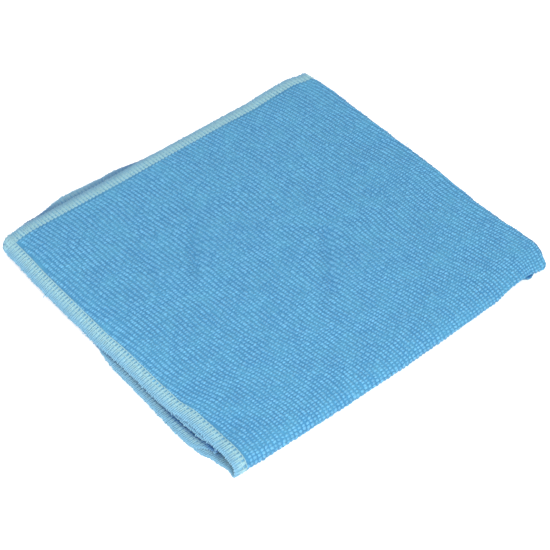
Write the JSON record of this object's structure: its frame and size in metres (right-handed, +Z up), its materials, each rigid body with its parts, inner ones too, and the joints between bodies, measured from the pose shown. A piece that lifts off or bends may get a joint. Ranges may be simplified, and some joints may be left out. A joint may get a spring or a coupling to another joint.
{
  "type": "folded microfibre cloth",
  "caption": "Knitted microfibre cleaning cloth with an overlocked hem, folded in quarters and lying flat, its open hems on one corner.",
  "frame": {"origin": "under the middle of the folded cloth, on the surface that it lies on", "axes": "+Z up through the four layers, +X towards the roll of the second fold, +Y towards the first fold"},
  "size_m": [0.1968, 0.2102, 0.0116],
  "materials": {
    "microfibre": "matt knitted loops, paler thread along the hems"
  },
  "bodies": {
    "root": {"cloth": "microfibre"}
  },
  "joints": []
}
